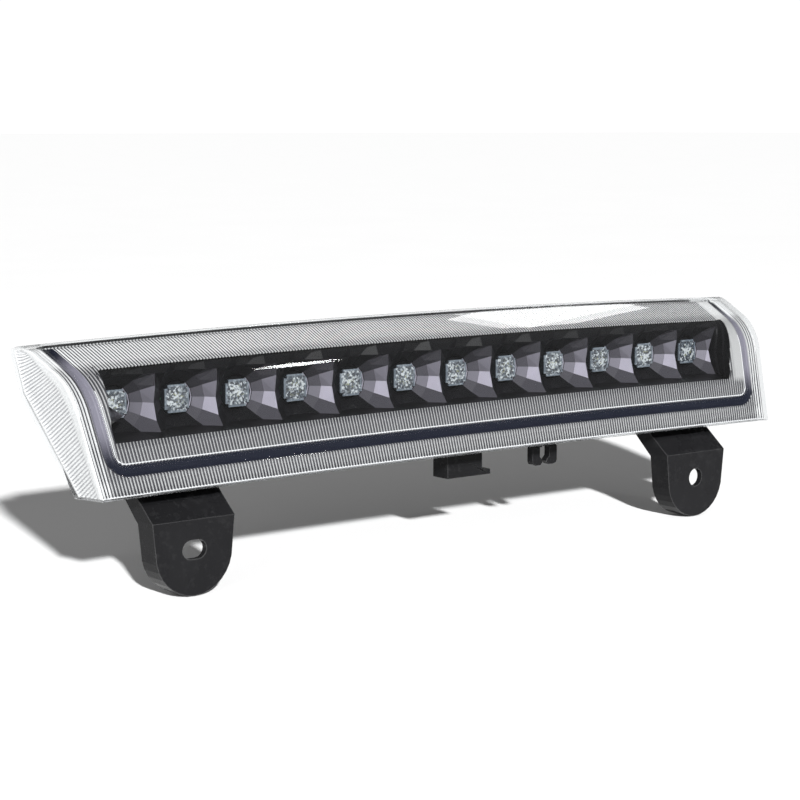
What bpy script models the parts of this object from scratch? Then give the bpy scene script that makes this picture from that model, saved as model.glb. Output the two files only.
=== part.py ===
"""High-mounted third brake light: a clear lens over a faceted reflector with a row of LEDs.

The working frame has X along the lamp, Y from front to back and Z up, with the
LED row at Y = 0 and Z = 0. One empty then carries every piece, so that the
origin is the middle of the lamp's bounding box. Lengths are in millimetres,
and MM turns them into metres.
"""

import math

import bmesh
import bpy
from mathutils import Matrix, Vector

MM = 0.001
GAP = 0.35

LED_COUNT = 12
LED_PITCH = 22.0
OPTIC_SIZE = 8.6
OPTIC_DEPTH = 2.65

FACE_FOOT = (-24.2, -24.5)
FACE_LENGTH = 26.9
FACE_ANGLE = 72.5
BROW_RADIUS = 19.1
ROOF_ANGLE = 25.0
ROOF_LENGTH = 11.3
ROOF_RADIUS = 10.0
ROOF_END_ANGLE = -20.0
FOOT_HALF_WIDTH = 139.2
SIDE_SPLAY = 0.128
CAP_FLARE = 1.2
LENS_WALL = 2.1
RETURN_HALF_WIDTH = 133.0
BACK_LINE = ((-10.0, -25.2), (11.8, 3.9), (13.2, 15.6), (12.4, 17.6))

GROOVE_WIDTH = 3.9
GROOVE_DEPTH = 1.1
GROOVE_BORDER = 4.8
GROOVE_FOOT = 6.3
GROOVE_SLOPE = 0.7
GROOVE_BACK = 3.4

CROWN_FOOT = 1.0
CROWN_TOP = 2.0
CROWN_HALF_WIDTH = 142.0

TRAY_HALF_WIDTH = 136.6
TRAY_WALL = 2.0
TRAY_LINE = ((-8.6, -25.4), (-1.5, -25.4), (18.5, 1.5), (18.5, 16.2), (14.4, 17.1))
TRAY_MOUTH = ((-8.6, -25.4), (-6.9, -23.0), (13.5, 3.4), (14.9, 15.0), (14.4, 17.1))

EAR_CENTRE_X = 106.0
EAR_HALF_WIDTH = 14.4
EAR_FRONT = -20.0
EAR_DEPTH = 8.5
EAR_WALL = 2.2
EAR_CREASE_Z = -33.7
EAR_ROUND_RADIUS = 13.4
EAR_HOLE_Z = -42.8
SLOT_LENGTH = 8.4
SLOT_WIDTH = 5.8
HOLE_RADIUS = 3.2

REFLECTOR_FRONT = -4.7
REFLECTOR_BACK = 1.2
REFLECTOR_HALF_WIDTH = 131.4
TROUGH_HALF_WIDTH = 129.9
CUP_FLOOR_RADIUS = 5.9
CUP_MOUTH_RADIUS = 12.6
CUP_SIDES = 14

BOARD_FRONT = 3.0
BOARD_THICKNESS = 1.6
BOARD_HALF_LENGTH = 130.0
BOARD_BOTTOM = -8.5
BOARD_TOP = 9.8
SCREW_X = (-110.0, -22.0, 22.0, 110.0)
SCREW_Z = 7.2
SCREW_RADIUS = 1.25
SCREW_HEAD_RADIUS = 2.3

SOCKET_LOW = (-0.7, -10.0, -33.9)
SOCKET_HIGH = (14.3, -2.2, -24.8)
SOCKET_WALL = 1.0
SOCKET_DEPTH = 6.6
FOOT_REACH = 3.6
FOOT_HEIGHT = 1.8
TERMINAL_X = (3.4, 10.2)
TERMINAL_Y = -6.1
TERMINAL_WIDTH = 2.2
TERMINAL_THICKNESS = 0.8

CLIP_LEFT = 37.1
CLIP_RIGHT = 48.4
CLIP_FRONT = -9.6
CLIP_DEPTH = 2.8
CLIP_ROOT_Z = -26.6
CLIP_TIP_Z = -33.3
PRONG_WIDTH = 3.5
PRONG_TOE = 1.35

PARTS = "third_brake_light"
CUTTERS = "cutters"

YZ_PLANE = Matrix(((0, 0, 1, 0), (1, 0, 0, 0), (0, 1, 0, 0), (0, 0, 0, 1)))
XZ_PLANE = Matrix(((1, 0, 0, 0), (0, 0, -1, 0), (0, 1, 0, 0), (0, 0, 0, 1)))


def clear_scene():
    for item in list(bpy.data.objects):
        bpy.data.objects.remove(item)


def make_collections():
    for name in (PARTS, CUTTERS):
        collection = bpy.data.collections.new(name)
        bpy.context.scene.collection.children.link(collection)


def make_origin():
    """The empty that carries every piece and every cutter."""
    origin = bpy.data.objects.new("lamp_origin", None)
    bpy.context.scene.collection.objects.link(origin)
    return origin


def make_material(name, colour, roughness, metallic=0.0, transmission=0.0, alpha=1.0):
    material = bpy.data.materials.new(name)
    material.use_nodes = True
    shader = material.node_tree.nodes["Principled BSDF"]
    shader.inputs["Base Color"].default_value = (*colour, 1.0)
    shader.inputs["Roughness"].default_value = roughness
    shader.inputs["Metallic"].default_value = metallic
    shader.inputs["Transmission Weight"].default_value = transmission
    shader.inputs["Alpha"].default_value = alpha
    return material


def smooth_shade(mesh, angle=35.0):
    mesh.shade_smooth()
    mesh.set_sharp_from_angle(angle=math.radians(angle))


def add_part(name, mesh, material, location=(0.0, 0.0, 0.0)):
    """A visible piece, carried by the origin empty."""
    part = bpy.data.objects.new(name, mesh)
    mesh.materials.append(material)
    bpy.data.collections[PARTS].objects.link(part)
    part.parent = bpy.data.objects["lamp_origin"]
    part.location = Vector(location) * MM
    return part


def add_cutter(name, mesh):
    """A helper that only takes part in Booleans."""
    cutter = bpy.data.objects.new(name, mesh)
    bpy.data.collections[CUTTERS].objects.link(cutter)
    cutter.parent = bpy.data.objects["lamp_origin"]
    cutter.hide_render = True
    cutter.display_type = "WIRE"
    return cutter


def add_boolean(part, other, operation):
    modifier = part.modifiers.new(other.name, "BOOLEAN")
    modifier.operation = operation
    modifier.solver = "EXACT"
    modifier.object = other


def finish_mesh(name, shape):
    mesh = bpy.data.meshes.new(name)
    shape.to_mesh(mesh)
    shape.free()
    return mesh


def box_mesh(name, low, high):
    shape = bmesh.new()
    size = [(b - a) * MM for a, b in zip(low, high)]
    middle = [(a + b) / 2 * MM for a, b in zip(low, high)]
    place = Matrix.Translation(middle) @ Matrix.Diagonal((*size, 1.0))
    bmesh.ops.create_cube(shape, size=1.0, matrix=place)
    return finish_mesh(name, shape)


def cylinder_mesh(name, centre, radius, low, high, sides=20, far_radius=None):
    """A cylinder or a cone along Y, from low to high, about centre (x, z)."""
    shape = bmesh.new()
    place = Matrix.Translation(Vector((centre[0], (low + high) / 2, centre[1])) * MM)
    turn = Matrix.Rotation(math.radians(-90.0), 4, "X")
    bmesh.ops.create_cone(
        shape,
        cap_ends=True,
        segments=sides,
        radius1=radius * MM,
        radius2=(radius if far_radius is None else far_radius) * MM,
        depth=(high - low) * MM,
        matrix=place @ turn,
    )
    return finish_mesh(name, shape)


def outline_mesh(name, points, low, high, plane):
    """A flat outline made solid from low to high along the plane's third axis."""
    curve = bpy.data.curves.new(name, "CURVE")
    curve.dimensions = "2D"
    curve.fill_mode = "BOTH"
    curve.extrude = (high - low) / 2 * MM
    spline = curve.splines.new("POLY")
    spline.points.add(len(points) - 1)
    for point, (u, v) in zip(spline.points, points):
        point.co = (u * MM, v * MM, 0.0, 1.0)
    spline.use_cyclic_u = True
    guide = bpy.data.objects.new(name, curve)
    bpy.context.scene.collection.objects.link(guide)
    graph = bpy.context.evaluated_depsgraph_get()
    mesh = bpy.data.meshes.new_from_object(guide.evaluated_get(graph))
    bpy.data.objects.remove(guide)
    bpy.data.curves.remove(curve)
    shape = bmesh.new()
    shape.from_mesh(mesh)
    bmesh.ops.remove_doubles(shape, verts=shape.verts, dist=1e-6)
    along = (low + high) / 2 * MM
    bmesh.ops.transform(
        shape, matrix=plane @ Matrix.Translation((0, 0, along)), verts=shape.verts
    )
    shape.to_mesh(mesh)
    shape.free()
    mesh.name = name
    return mesh


def arc_points(centre, radius, start, stop, count):
    """Points on an arc, in degrees from start to stop."""
    found = []
    for i in range(count + 1):
        angle = math.radians(start + (stop - start) * i / count)
        found.append(
            (centre[0] + radius * math.cos(angle), centre[1] + radius * math.sin(angle))
        )
    return found


def brow_length():
    return BROW_RADIUS * math.radians(FACE_ANGLE - ROOF_ANGLE)


def roof_curl_length():
    return ROOF_RADIUS * math.radians(ROOF_ANGLE - ROOF_END_ANGLE)


def profile_length():
    return FACE_LENGTH + brow_length() + ROOF_LENGTH + roof_curl_length()


def groove_top():
    """How far up the profile the groove's outer line reaches."""
    return profile_length() - GROOVE_BACK


def bend(start, angle, radius, length):
    """The point and heading after an arc that turns downward from the angle."""
    turned = math.degrees(length / radius)
    chord = 2 * radius * math.sin(math.radians(turned) / 2)
    heading = math.radians(angle - turned / 2)
    point = (start[0] + chord * math.cos(heading), start[1] + chord * math.sin(heading))
    return point, angle - turned


def lens_profile(distance):
    """(y, z) and heading of the lens's outer face, this far up from its foot."""
    spans = (
        (FACE_LENGTH, None),
        (brow_length(), BROW_RADIUS),
        (ROOF_LENGTH, None),
        (roof_curl_length(), ROOF_RADIUS),
    )
    point = FACE_FOOT
    angle = FACE_ANGLE
    for length, radius in spans:
        step = min(distance, length)
        if radius is None:
            slope = math.radians(angle)
            point = (point[0] + step * math.cos(slope), point[1] + step * math.sin(slope))
        else:
            point, angle = bend(point, angle, radius, step)
        distance -= step
        if distance <= 0:
            break
    return point, angle


def crown_at(x, z):
    """How far the long edges bow upward here."""
    share = (z - FACE_FOOT[1]) / 42.4
    height = CROWN_FOOT + (CROWN_TOP - CROWN_FOOT) * share
    return height * (1 - (x / CROWN_HALF_WIDTH) ** 2)


def along_line(line, share):
    """The point at this share of a broken line's length."""
    lengths = [math.dist(a, b) for a, b in zip(line, line[1:])]
    rest = share * sum(lengths)
    for start, end, length in zip(line, line[1:], lengths):
        if rest <= length or end == line[-1]:
            part = min(rest / length, 1.0)
            return tuple(a + (b - a) * part for a, b in zip(start, end))
        rest -= length


def lens_rows():
    """Distances up the profile at which the lens's rows lie."""
    foot = GROOVE_FOOT
    top = groove_top()
    rows = [0.0, foot, foot + GROOVE_SLOPE, foot + GROOVE_WIDTH - GROOVE_SLOPE]
    rows += [foot + GROOVE_WIDTH, FACE_LENGTH]
    rows += [FACE_LENGTH + brow_length() * i / 5 for i in range(1, 6)]
    rows += [top - GROOVE_WIDTH, top - GROOVE_WIDTH + GROOVE_SLOPE, top - GROOVE_SLOPE]
    rows += [top] + [top + GROOVE_BACK * i / 2 for i in range(1, 3)]
    return rows


def lens_columns():
    """Pairs (kind, value): distance in from the side edge, or share of the middle."""
    inner = GROOVE_BORDER + GROOVE_WIDTH
    near = [0.0, GROOVE_BORDER, GROOVE_BORDER + GROOVE_SLOPE, inner - GROOVE_SLOPE, inner]
    left = [("left", value) for value in near]
    middle = [("middle", -1 + 2 * i / 12) for i in range(1, 12)]
    right = [("right", value) for value in reversed(near)]
    return [("return", -1), ("cap", -1)] + left + middle + right + [("cap", 1), ("return", 1)]


def in_groove(kind, value, distance):
    """True on the floor of the closed groove that runs round the face."""
    top = groove_top()
    low_leg = (GROOVE_FOOT, GROOVE_FOOT + GROOVE_WIDTH)
    top_leg = (top - GROOVE_WIDTH, top)
    edge = 99.0 if kind == "middle" else value
    inside_x = edge > GROOVE_BORDER + 0.01
    inside_z = low_leg[0] + 0.01 < distance < top_leg[1] - 0.01
    on_side = edge < GROOVE_BORDER + GROOVE_WIDTH - 0.01
    on_leg = any(a + 0.01 < distance < b - 0.01 for a, b in (low_leg, top_leg))
    return inside_x and inside_z and (on_side or on_leg)


def lens_point(column, row):
    """World position of one grid point of the lens's outer surface."""
    kind, value = column
    distance = max(row, 0.0)
    (y, z), angle = lens_profile(distance)
    edge = FOOT_HALF_WIDTH + SIDE_SPLAY * distance
    share = distance / profile_length()
    if kind in ("cap", "return") or (row < 0 and kind != "middle" and value == 0.0):
        side = value if kind in ("cap", "return") else (-1 if kind == "left" else 1)
        if kind == "return":
            share = 0.2 + 0.72 * share
        y, z = along_line(BACK_LINE, share)
        x = side * (edge + CAP_FLARE)
        if kind == "return":
            x = side * RETURN_HALF_WIDTH
        return Vector((x, y, z + crown_at(x, z))) * MM
    if kind == "middle":
        x = value * (edge - GROOVE_BORDER - GROOVE_WIDTH)
    else:
        x = (edge - value) * (-1 if kind == "left" else 1)
    if row < 0:
        y, z = BACK_LINE[0]
    elif in_groove(kind, value, distance):
        normal = math.radians(angle + 90.0)
        y -= GROOVE_DEPTH * math.cos(normal)
        z -= GROOVE_DEPTH * math.sin(normal)
    return Vector((x, y, z + crown_at(x, z))) * MM


def grid_shell(name, columns, rows, place, wall):
    """A grid laid over a surface and given a wall inward from it."""
    shape = bmesh.new()
    across = len(columns) - 1
    up = len(rows) - 1
    bmesh.ops.create_grid(shape, x_segments=across, y_segments=up, size=1.0)
    for vertex in shape.verts:
        i = round((vertex.co.x + 1) / 2 * across)
        j = round((vertex.co.y + 1) / 2 * up)
        vertex.co = place(columns[i], rows[j])
    bmesh.ops.remove_doubles(shape, verts=shape.verts, dist=1e-6)
    return finish_mesh(name, shape)


def add_wall(part, thickness):
    modifier = part.modifiers.new("wall", "SOLIDIFY")
    modifier.thickness = thickness * MM
    modifier.offset = -1.0
    modifier.use_even_offset = True


def face_forward(mesh, forward):
    """Turns the faces so that the surface's largest ones look along forward."""
    mesh.update()
    total = sum(face.normal.dot(forward) * face.area for face in mesh.polygons)
    if total < 0:
        mesh.flip_normals()


def build_lens():
    material = make_material("clear_polycarbonate", (0.93, 0.94, 0.95), 0.05, 0.0, 0.9)
    columns = lens_columns()
    mesh = grid_shell("outer_lens", columns, [-1.0] + lens_rows(), lens_point, LENS_WALL)
    face_forward(mesh, Vector((0, -1, 0.5)))
    lens = add_part("outer_lens", mesh, material)
    add_wall(lens, LENS_WALL)
    smooth_shade(mesh, 20.0)


def tray_point(column, row):
    """World position of one grid point of the rear housing's outer surface."""
    kind, x = column
    y, z = (TRAY_MOUTH if kind == "mouth" else TRAY_LINE)[row]
    return Vector((x, y, z + crown_at(x, z))) * MM


def build_ear(side):
    """One ear: a pan with a sloping neck, its front plate upright and its back open."""
    label = "left" if side < 0 else "right"
    back = EAR_FRONT + EAR_DEPTH
    middle = side * EAR_CENTRE_X

    def outline(inset):
        half = EAR_HALF_WIDTH - inset
        radius = EAR_ROUND_RADIUS - inset
        points = arc_points((middle, EAR_HOLE_Z - 0.6), radius, 180.0, 360.0, 16)
        return points + [
            (middle + half, EAR_CREASE_Z),
            (middle + half, -18.0),
            (middle - half, -18.0),
            (middle - half, EAR_CREASE_Z),
        ]

    side_view = [
        (EAR_FRONT, -60.0),
        (EAR_FRONT, EAR_CREASE_Z),
        (-8.9, -24.8),
        (-7.8, -24.0),
        (-1.6, -24.0),
        (-1.6, -25.6),
        (back, EAR_CREASE_Z - 1.0),
        (back, -60.0),
    ]
    hollow_view = [
        (EAR_FRONT + EAR_WALL, -62.0),
        (EAR_FRONT + EAR_WALL, EAR_CREASE_Z - 0.8),
        (-8.4, -27.0),
        (2.0, -27.0),
        (2.0, -62.0),
    ]
    low = middle - 30.0
    high = middle + 30.0
    ear = add_cutter(
        f"ear_{label}", outline_mesh(f"ear_{label}", side_view, low, high, YZ_PLANE)
    )
    front = outline_mesh(f"ear_front_{label}", outline(0.0), -15.0, 35.0, XZ_PLANE)
    add_boolean(ear, add_cutter(f"ear_front_{label}", front), "INTERSECT")
    hollow = add_cutter(
        f"ear_hollow_{label}",
        outline_mesh(f"ear_hollow_{label}", hollow_view, low, high, YZ_PLANE),
    )
    inner = outline_mesh(f"ear_inner_{label}", outline(EAR_WALL), -15.0, 35.0, XZ_PLANE)
    add_boolean(hollow, add_cutter(f"ear_inner_{label}", inner), "INTERSECT")
    add_boolean(ear, hollow, "DIFFERENCE")
    add_boolean(ear, ear_hole(label, middle), "DIFFERENCE")
    return ear


def ear_hole(label, middle):
    """The left ear has a level slot and the right ear a round hole."""
    if label == "left":
        reach = (SLOT_LENGTH - SLOT_WIDTH) / 2
        radius = SLOT_WIDTH / 2
        points = arc_points((middle + reach, EAR_HOLE_Z), radius, -90.0, 90.0, 8)
        points += arc_points((middle - reach, EAR_HOLE_Z), radius, 90.0, 270.0, 8)
    else:
        points = arc_points((middle, EAR_HOLE_Z), HOLE_RADIUS, 0.0, 345.0, 23)
    return add_cutter(f"ear_hole_{label}", outline_mesh("hole", points, 8.0, 30.0, XZ_PLANE))


def build_housing():
    """The rear tray with its two ears, four screw bosses and the clip's root."""
    material = make_material("black_housing_plastic", (0.012, 0.012, 0.013), 0.42)
    span = TRAY_HALF_WIDTH
    columns = [("mouth", -span)]
    columns += [("back", span * (-1 + 2 * i / 14)) for i in range(15)]
    columns += [("mouth", span)]
    rows = list(range(len(TRAY_LINE)))
    mesh = grid_shell("rear_housing", columns, rows, tray_point, TRAY_WALL)
    face_forward(mesh, Vector((0, 1, -0.3)))
    housing = add_part("rear_housing", mesh, material)
    add_wall(housing, TRAY_WALL)
    for side in (-1, 1):
        add_boolean(housing, build_ear(side), "UNION")
    for i, x in enumerate(SCREW_X):
        low = BOARD_FRONT + BOARD_THICKNESS + GAP
        boss = cylinder_mesh(f"boss_{i}", (x, SCREW_Z), 3.0, low, 17.6, 16)
        add_boolean(housing, add_cutter(f"boss_{i}", boss), "UNION")
    root_low = (CLIP_LEFT, CLIP_FRONT + 1.2, CLIP_ROOT_Z)
    root_high = (CLIP_RIGHT, CLIP_FRONT + CLIP_DEPTH + 1.2, -23.4)
    root = add_cutter("clip_root", box_mesh("clip_root", root_low, root_high))
    add_boolean(housing, root, "UNION")
    for i, x in enumerate(SCREW_X):
        hole = cylinder_mesh(f"pilot_{i}", (x, SCREW_Z), SCREW_RADIUS + GAP, 0.0, 14.0, 12)
        add_boolean(housing, add_cutter(f"pilot_{i}", hole), "DIFFERENCE")
    for i, x in enumerate(TERMINAL_X):
        add_boolean(housing, terminal_hole(f"floor_hole_{i}", x), "DIFFERENCE")
    smooth_shade(mesh, 20.0)


def terminal_hole(name, x):
    half_x = TERMINAL_THICKNESS / 2 + GAP
    half_y = TERMINAL_WIDTH / 2 + GAP
    low = (x - half_x, TERMINAL_Y - half_y, -30.0)
    high = (x + half_x, TERMINAL_Y + half_y, -19.0)
    return add_cutter(name, box_mesh(name, low, high))


def build_socket():
    """The socket under the lamp, open downward, with a foot on its right."""
    material = make_material("black_connector_plastic", (0.010, 0.010, 0.011), 0.38)
    socket = add_part(
        "connector_socket", box_mesh("connector_socket", SOCKET_LOW, SOCKET_HIGH), material
    )
    foot_low = (SOCKET_HIGH[0] - 0.8, SOCKET_LOW[1], SOCKET_LOW[2])
    foot_high = (
        SOCKET_HIGH[0] + FOOT_REACH,
        SOCKET_LOW[1] + 6.0,
        SOCKET_LOW[2] + FOOT_HEIGHT,
    )
    add_boolean(socket, add_cutter("foot", box_mesh("foot", foot_low, foot_high)), "UNION")
    mouth_low = [value + SOCKET_WALL for value in SOCKET_LOW]
    mouth_low[2] = SOCKET_LOW[2] - 2.0
    mouth_high = [value - SOCKET_WALL for value in SOCKET_HIGH]
    mouth_high[2] = SOCKET_LOW[2] + SOCKET_DEPTH
    mouth = add_cutter("socket_mouth", box_mesh("socket_mouth", mouth_low, mouth_high))
    add_boolean(socket, mouth, "DIFFERENCE")
    for i, x in enumerate(TERMINAL_X):
        add_boolean(socket, terminal_hole(f"socket_hole_{i}", x), "DIFFERENCE")
    brass = make_material("tinned_brass", (0.75, 0.62, 0.38), 0.3, 1.0)
    for i, x in enumerate(TERMINAL_X):
        low = (
            x - TERMINAL_THICKNESS / 2,
            TERMINAL_Y - TERMINAL_WIDTH / 2,
            SOCKET_LOW[2] + 1.4,
        )
        high = (x + TERMINAL_THICKNESS / 2, TERMINAL_Y + TERMINAL_WIDTH / 2, -19.6)
        name = f"terminal_{i + 1}"
        add_part(name, box_mesh(name, low, high), brass)


def build_leads():
    """Insulated leads from the terminals up to the back of the board."""
    colours = ((0.45, 0.02, 0.02), (0.02, 0.02, 0.02))
    solder_y = BOARD_FRONT + BOARD_THICKNESS + 2 * GAP
    for i, x in enumerate(TERMINAL_X):
        name = f"lead_wire_{i + 1}"
        curve = bpy.data.curves.new(name, "CURVE")
        curve.dimensions = "3D"
        curve.bevel_depth = 0.7 * MM
        curve.bevel_resolution = 1
        curve.use_fill_caps = True
        curve.resolution_u = 5
        spline = curve.splines.new("BEZIER")
        route = (
            (x, TERMINAL_Y, -19.2),
            (x, -0.6, -14.2),
            (x, 6.5, -8.3),
            (x, solder_y, -3.5),
        )
        spline.bezier_points.add(len(route) - 1)
        for point, place in zip(spline.bezier_points, route):
            point.co = Vector(place) * MM
            point.handle_left_type = "AUTO"
            point.handle_right_type = "AUTO"
        lead = bpy.data.objects.new(name, curve)
        curve.materials.append(make_material(f"{name}_jacket", colours[i], 0.45))
        bpy.data.collections[PARTS].objects.link(lead)
        lead.parent = bpy.data.objects["lamp_origin"]


def prong_outline(side):
    """Outline of one clip prong about its hinge: a leg with a rounded inward toe."""
    inner = -side * PRONG_WIDTH / 2
    outer = side * PRONG_WIDTH / 2
    top = -GAP
    toe = CLIP_TIP_Z - CLIP_ROOT_Z
    points = [(outer, top), (outer, toe + 1.4)]
    points += [(outer - side * 0.45, toe + 0.4), (outer - side * 1.5, toe)]
    points += [(inner - side * (PRONG_TOE - 1.0), toe), (inner - side * PRONG_TOE, toe + 1.2)]
    points += [(inner - side * (PRONG_TOE - 0.3), toe + 2.0), (inner, toe + 2.9)]
    points += [(inner, top)]
    return points if side > 0 else list(reversed(points))


def build_clip():
    """Two springy prongs; each turns about its root, on an axis along Y."""
    material = make_material("black_clip_plastic", (0.010, 0.010, 0.011), 0.35)
    for side, label in ((-1, "left"), (1, "right")):
        edge = CLIP_LEFT if side < 0 else CLIP_RIGHT
        x = edge - side * PRONG_WIDTH / 2
        name = f"clip_prong_{label}"
        mesh = outline_mesh(
            name, prong_outline(side), -CLIP_DEPTH / 2, CLIP_DEPTH / 2, XZ_PLANE
        )
        middle_y = CLIP_FRONT + CLIP_DEPTH / 2
        add_part(name, mesh, material, (x, middle_y, CLIP_ROOT_Z))


def build_reflector():
    """The black trough behind the window, with a faceted cup round every LED."""
    material = make_material("gloss_black_reflector", (0.02, 0.018, 0.022), 0.08)
    block = [
        (-15.3, -11.0),
        (-15.3, -9.4),
        (-12.4, 0.5),
        (-9.0, 6.6),
        (-4.7, 10.4),
        (REFLECTOR_BACK, 11.6),
        (REFLECTOR_BACK, -10.4),
    ]
    mesh = outline_mesh(
        "led_reflector", block, -REFLECTOR_HALF_WIDTH, REFLECTOR_HALF_WIDTH, YZ_PLANE
    )
    reflector = add_part("led_reflector", mesh, material)
    trough = [
        (REFLECTOR_FRONT, 20.0),
        (REFLECTOR_FRONT, -8.4),
        (-15.0, -9.7),
        (-30.0, -9.7),
        (-30.0, 20.0),
    ]
    cut = outline_mesh("trough", trough, -TROUGH_HALF_WIDTH, TROUGH_HALF_WIDTH, YZ_PLANE)
    add_boolean(reflector, add_cutter("trough", cut), "DIFFERENCE")
    for i in range(LED_COUNT):
        x = led_x(i)
        mouth = cylinder_mesh(
            f"cup_{i}", (x, 0.0), CUP_MOUTH_RADIUS, -5.3, 0.9, CUP_SIDES, CUP_FLOOR_RADIUS
        )
        add_boolean(reflector, add_cutter(f"cup_{i}", mouth), "DIFFERENCE")
    for i in range(LED_COUNT):
        x = led_x(i)
        through = cylinder_mesh(f"well_{i}", (x, 0.0), 5.7, -1.0, 3.0, CUP_SIDES)
        add_boolean(reflector, add_cutter(f"well_{i}", through), "DIFFERENCE")


def led_x(i):
    return (i - (LED_COUNT - 1) / 2) * LED_PITCH


def build_leds():
    """An LED package and a square clear optic over it, at every place in the row."""
    package = make_material("led_package", (0.85, 0.80, 0.62), 0.4)
    clear = make_material("clear_optic", (0.86, 0.90, 0.95), 0.06, 0.0, 0.8)
    half = OPTIC_SIZE / 2
    for i in range(LED_COUNT):
        x = led_x(i)
        low = (-1.75, BOARD_FRONT - GAP - 0.9, -1.75)
        high = (1.75, BOARD_FRONT - GAP, 1.75)
        name = f"led_{i + 1:02d}"
        add_part(name, box_mesh(name, low, high), package, (x, 0.0, 0.0))
        name = f"led_optic_{i + 1:02d}"
        mesh = optic_mesh(name, half)
        add_part(name, mesh, clear, (x, 0.0, 0.0))


def optic_mesh(name, half):
    """A square block with eased upright edges and a pocket behind for the LED."""
    shape = bmesh.new()
    size = Matrix.Diagonal((2 * half * MM, OPTIC_DEPTH * MM, 2 * half * MM, 1.0))
    place = Matrix.Translation((0, OPTIC_DEPTH / 2 * MM, 0))
    bmesh.ops.create_cube(shape, size=1.0, matrix=place @ size)
    upright = [edge for edge in shape.edges if abs((edge.verts[0].co - edge.verts[1].co).y) > 1e-5]
    bmesh.ops.bevel(shape, geom=upright, offset=1.1 * MM, segments=2, affect="EDGES")
    back = [face for face in shape.faces if face.normal.y > 0.9]
    bmesh.ops.inset_region(shape, faces=back, thickness=1.5 * MM)
    pocket = bmesh.ops.extrude_face_region(shape, geom=back)
    corners = [item for item in pocket["geom"] if isinstance(item, bmesh.types.BMVert)]
    bmesh.ops.translate(shape, vec=(0, -1.3 * MM, 0), verts=corners)
    bmesh.ops.delete(shape, geom=back, context="FACES")
    bmesh.ops.recalc_face_normals(shape, faces=shape.faces)
    return finish_mesh(name, shape)


def build_board():
    """The board with its holes, its four screws and the driver's components."""
    resin = make_material("board_resin", (0.03, 0.16, 0.07), 0.5)
    back = BOARD_FRONT + BOARD_THICKNESS
    low = (-BOARD_HALF_LENGTH, BOARD_FRONT, BOARD_BOTTOM)
    high = (BOARD_HALF_LENGTH, back, BOARD_TOP)
    board = add_part("circuit_board", box_mesh("circuit_board", low, high), resin)
    steel = make_material("zinc_steel", (0.62, 0.62, 0.60), 0.35, 1.0)
    for i, x in enumerate(SCREW_X):
        hole = cylinder_mesh(f"hole_{i}", (x, SCREW_Z), SCREW_RADIUS + GAP, 2.0, 6.0, 12)
        add_boolean(board, add_cutter(f"board_hole_{i}", hole), "DIFFERENCE")
        name = f"board_screw_{i + 1}"
        add_part(name, screw_mesh(name), steel, (x, 0.0, SCREW_Z))
    dark = make_material("component_black", (0.02, 0.02, 0.02), 0.45)
    silver = make_material("capacitor_can", (0.7, 0.7, 0.72), 0.3, 1.0)
    blocks = (
        ("driver_chip", -40.0, 2.0, 6.2, 1.5, 5.2),
        ("rectifier_diode", -52.0, 2.0, 4.6, 2.2, 2.8),
        ("resistor_1", 55.0, 2.0, 3.2, 0.7, 1.7),
        ("resistor_2", 62.0, 2.0, 3.2, 0.7, 1.7),
        ("resistor_3", 69.0, 2.0, 3.2, 0.7, 1.7),
    )
    for name, x, z, wide, deep, tall in blocks:
        low = (-wide / 2, back + GAP, -tall / 2)
        high = (wide / 2, back + GAP + deep, tall / 2)
        add_part(name, box_mesh(name, low, high), dark, (x, 0.0, z))
    can = cylinder_mesh("capacitor", (0.0, 0.0), 3.1, back + GAP, back + GAP + 5.8, 16)
    add_part("capacitor", can, silver, (-64.0, 0.0, 3.0))


def screw_mesh(name):
    """A pan-head screw along Y: the head in front of the board, the shank in its boss."""
    shape = bmesh.new()
    head_back = BOARD_FRONT - 0.3
    outline = (
        (0.0, 12.6),
        (0.7, 12.3),
        (SCREW_RADIUS, 11.3),
        (SCREW_RADIUS, head_back),
        (SCREW_HEAD_RADIUS, head_back),
        (SCREW_HEAD_RADIUS, head_back - 0.7),
        (1.5, head_back - 1.15),
        (0.0, head_back - 1.15),
    )
    verts = [shape.verts.new((r * MM, 0.0, -y * MM)) for r, y in outline]
    edges = [shape.edges.new(pair) for pair in zip(verts, verts[1:])]
    bmesh.ops.spin(
        shape,
        geom=verts + edges,
        cent=(0, 0, 0),
        axis=(0, 0, 1),
        angle=math.tau,
        steps=12,
        use_merge=True,
    )
    bmesh.ops.remove_doubles(shape, verts=shape.verts, dist=1e-6)
    bmesh.ops.rotate(
        shape,
        cent=(0, 0, 0),
        matrix=Matrix.Rotation(math.radians(90.0), 3, "X"),
        verts=shape.verts,
    )
    bmesh.ops.recalc_face_normals(shape, faces=shape.faces)
    return finish_mesh(name, shape)


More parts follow.
